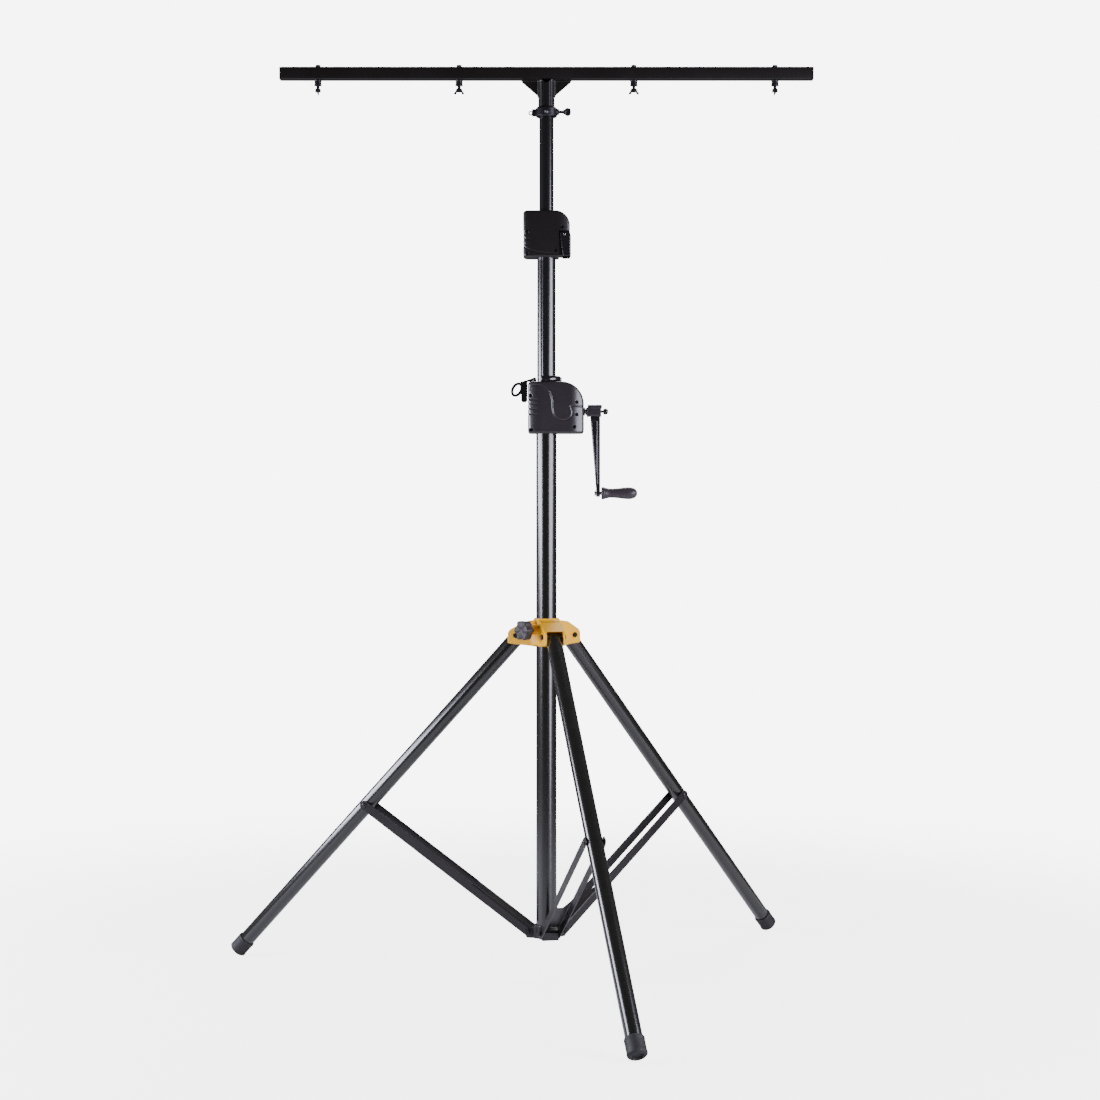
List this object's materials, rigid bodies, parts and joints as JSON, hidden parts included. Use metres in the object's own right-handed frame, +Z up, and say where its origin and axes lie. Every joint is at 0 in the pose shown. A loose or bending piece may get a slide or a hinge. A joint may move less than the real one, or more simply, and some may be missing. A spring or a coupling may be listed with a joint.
{
  "type": "crank lighting stand",
  "caption": "Folding tripod lighting stand with a telescopic mast wound up by a side crank, and a square crossbar with hanging lamp bolts.",
  "frame": {"origin": "on the floor, on the mast axis", "axes": "+Z up along the mast; +X towards the crank and along the crossbar; -Y is the front, where the single front leg points"},
  "size_m": [1.4535, 1.3984, 2.2203],
  "materials": {
    "black_coat": "gloss black powder coat",
    "black_plastic": "satin black moulded plastic",
    "yellow_plastic": "glossy yellow moulded plastic",
    "rubber": "matt black rubber",
    "grip_plastic": "satin dark grey plastic",
    "zinc": "zinc plated",
    "dark_steel": "blackened steel",
    "bronze": "bronze",
    "acetal": "natural acetal"
  },
  "bodies": {
    "base": {"main_tube": "black_coat", "base_bracket": "black_coat", "brace_pin_front": "zinc", "brace_pin_right": "zinc", "brace_pin_left": "zinc", "crank_housing_front": "black_plastic", "crank_housing_rear": "black_plastic", "guide_collar": "black_plastic", "lock_lever_pin": "zinc", "shaft_bush": "bronze"},
    "collar": {"leg_collar": "yellow_plastic", "leg_hinge_bolt_front": "zinc", "leg_hinge_bolt_right": "zinc", "leg_hinge_bolt_left": "zinc"},
    "collar_screw": {"collar_knob": "rubber", "collar_stud": "zinc"},
    "leg_front": {"leg_tube_front": "black_coat", "foot_cap_front": "rubber"},
    "leg_right": {"leg_tube_right": "black_coat", "foot_cap_right": "rubber"},
    "leg_left": {"leg_tube_left": "black_coat", "foot_cap_left": "rubber"},
    "strut_front": {"brace_front": "black_coat"},
    "strut_right": {"brace_right": "black_coat"},
    "strut_left": {"brace_left": "black_coat"},
    "crank": {"crank_shaft": "dark_steel", "crank_hub": "black_coat", "crank_arm": "black_coat", "crank_clamp_screw": "black_coat", "grip_spindle": "dark_steel"},
    "hand_grip": {"crank_grip": "grip_plastic"},
    "gear_train": {"gear_axle": "dark_steel", "worm_wheel": "bronze", "rack_pinion": "dark_steel"},
    "locking_lever": {"lock_lever": "black_plastic"},
    "middle_mast": {"mast_tube_mid": "black_coat", "mid_foot_bush": "acetal", "mouth_bush": "acetal", "upper_housing_front": "black_plastic", "upper_housing_rear": "black_plastic", "trigger_pin": "zinc"},
    "trigger": {"release_trigger": "black_plastic"},
    "lock_plate": {"grip_plate": "dark_steel", "lock_spring": "zinc"},
    "upper_mast": {"mast_tube_top": "black_coat", "top_foot_bush": "acetal"},
    "bar_head": {"crossbar": "black_coat", "crossbar_plug_right": "black_plastic", "crossbar_plug_left": "black_plastic", "bar_socket": "black_coat", "socket_clamp": "black_plastic", "lamp_bolt_1": "dark_steel", "lamp_bolt_2": "dark_steel", "lamp_bolt_3": "dark_steel", "lamp_bolt_4": "dark_steel"},
    "clamp_thumbscrew": {"clamp_screw": "black_plastic"},
    "nut_1": {"wing_nut_1": "dark_steel"},
    "nut_2": {"wing_nut_2": "dark_steel"},
    "nut_3": {"wing_nut_3": "dark_steel"},
    "nut_4": {"wing_nut_4": "dark_steel"}
  },
  "joints": [
    {"name": "collar_slide", "type": "slide", "parent": "base", "child": "collar", "axis": [0, 0, 1], "range_m": [0, 0.38135]},
    {"name": "leg_front_fold", "type": "hinge", "parent": "collar", "child": "leg_front", "pos_m": [0.01598, -0.06815, 0.82977], "axis": [0.9736, 0.2284, 0], "range_deg": [0, 42.7]},
    {"name": "leg_right_fold", "type": "hinge", "parent": "collar", "child": "leg_right", "pos_m": [0.05103, 0.04792, 0.82977], "axis": [-0.6845, 0.729, 0], "range_deg": [0, 42.7]},
    {"name": "leg_left_fold", "type": "hinge", "parent": "collar", "child": "leg_left", "pos_m": [-0.06701, 0.02023, 0.82977], "axis": [-0.289, -0.9573, 0], "range_deg": [0, 42.7]},
    {"name": "strut_front_fold", "type": "hinge", "parent": "base", "child": "strut_front", "pos_m": [0.00913, -0.03894, 0.11], "axis": [0.9736, 0.2284, 0], "range_deg": [-52.6, 0]},
    {"name": "strut_right_fold", "type": "hinge", "parent": "base", "child": "strut_right", "pos_m": [0.02916, 0.02738, 0.11], "axis": [-0.6845, 0.729, 0], "range_deg": [-52.6, 0]},
    {"name": "strut_left_fold", "type": "hinge", "parent": "base", "child": "strut_left", "pos_m": [-0.03829, 0.01156, 0.11], "axis": [-0.289, -0.9573, 0], "range_deg": [-52.6, 0]},
    {"name": "collar_knob_turn", "type": "hinge", "parent": "collar", "child": "collar_screw", "pos_m": [0, 0, 0.845], "axis": [-0.729, -0.6845, 0], "range_deg": [0, 720]},
    {"name": "crank_turn", "type": "hinge", "parent": "base", "child": "crank", "pos_m": [0, -0.014, 1.375], "axis": [1, 0, 0], "range_deg": [-13237, 28419]},
    {"name": "grip_spin", "type": "hinge", "parent": "crank", "child": "hand_grip", "pos_m": [0.18, -0.014, 1.1765], "axis": [1, 0, 0], "continuous": true},
    {"name": "gear_turn", "type": "hinge", "parent": "base", "child": "gear_train", "pos_m": [0.04331, 0, 1.4], "axis": [0, 1, 0], "range_deg": [-735.4, 1578.9]},
    {"name": "mast_mid_slide", "type": "slide", "parent": "base", "child": "middle_mast", "axis": [0, 0, 1], "range_m": [-0.286, 0.614]},
    {"name": "lock_lever_turn", "type": "hinge", "parent": "base", "child": "locking_lever", "pos_m": [-0.029, 0, 1.453], "axis": [0, 1, 0], "range_deg": [0, 35], "stiffness_Nm_per_rad": 0.4, "springref_deg": -17.19},
    {"name": "trigger_turn", "type": "hinge", "parent": "middle_mast", "child": "trigger", "pos_m": [0.044, 0, 1.803], "axis": [0, 1, 0], "range_deg": [0, 8], "stiffness_Nm_per_rad": 2, "springref_deg": -20.05},
    {"name": "plate_tilt", "type": "hinge", "parent": "middle_mast", "child": "lock_plate", "pos_m": [-0.032, 0, 1.8185], "axis": [0, 1, 0], "range_deg": [-3.2, 0], "deforming": ["lock_spring"]},
    {"name": "mast_top_slide", "type": "slide", "parent": "middle_mast", "child": "upper_mast", "axis": [0, 0, 1], "range_m": [-0.228, 0.6]},
    {"name": "bar_swivel", "type": "hinge", "parent": "upper_mast", "child": "bar_head", "pos_m": [0, 0, 2.14], "axis": [0, 0, 1], "continuous": true},
    {"name": "clamp_screw_turn", "type": "hinge", "parent": "bar_head", "child": "clamp_thumbscrew", "pos_m": [0.04, 0, 2.106], "axis": [1, 0, 0], "range_deg": [0, 720]},
    {"name": "wing_nut_1_turn", "type": "hinge", "parent": "bar_head", "child": "nut_1", "pos_m": [-0.557, 0, 2.158], "axis": [0, 0, 1], "range_deg": [0, 720]},
    {"name": "wing_nut_2_turn", "type": "hinge", "parent": "bar_head", "child": "nut_2", "pos_m": [-0.213, 0, 2.158], "axis": [0, 0, 1], "range_deg": [0, 720]},
    {"name": "wing_nut_3_turn", "type": "hinge", "parent": "bar_head", "child": "nut_3", "pos_m": [0.213, 0, 2.158], "axis": [0, 0, 1], "range_deg": [0, 720]},
    {"name": "wing_nut_4_turn", "type": "hinge", "parent": "bar_head", "child": "nut_4", "pos_m": [0.557, 0, 2.158], "axis": [0, 0, 1], "range_deg": [0, 720]}
  ],
  "couplings": [
    {"joint": "leg_front_fold", "follows": "collar_slide", "rad_per_m": 1.9542},
    {"joint": "leg_right_fold", "follows": "collar_slide", "rad_per_m": 1.9542},
    {"joint": "leg_left_fold", "follows": "collar_slide", "rad_per_m": 1.9542},
    {"joint": "strut_front_fold", "follows": "collar_slide", "rad_per_m": -2.4069},
    {"joint": "strut_right_fold", "follows": "collar_slide", "rad_per_m": -2.4069},
    {"joint": "strut_left_fold", "follows": "collar_slide", "rad_per_m": -2.4069},
    {"joint": "gear_turn", "follows": "crank_turn", "ratio": 0.055556},
    {"joint": "mast_mid_slide", "follows": "crank_turn", "m_per_rad": 0.0012379},
    {"joint": "plate_tilt", "follows": "trigger_turn", "ratio": -0.4}
  ]
}
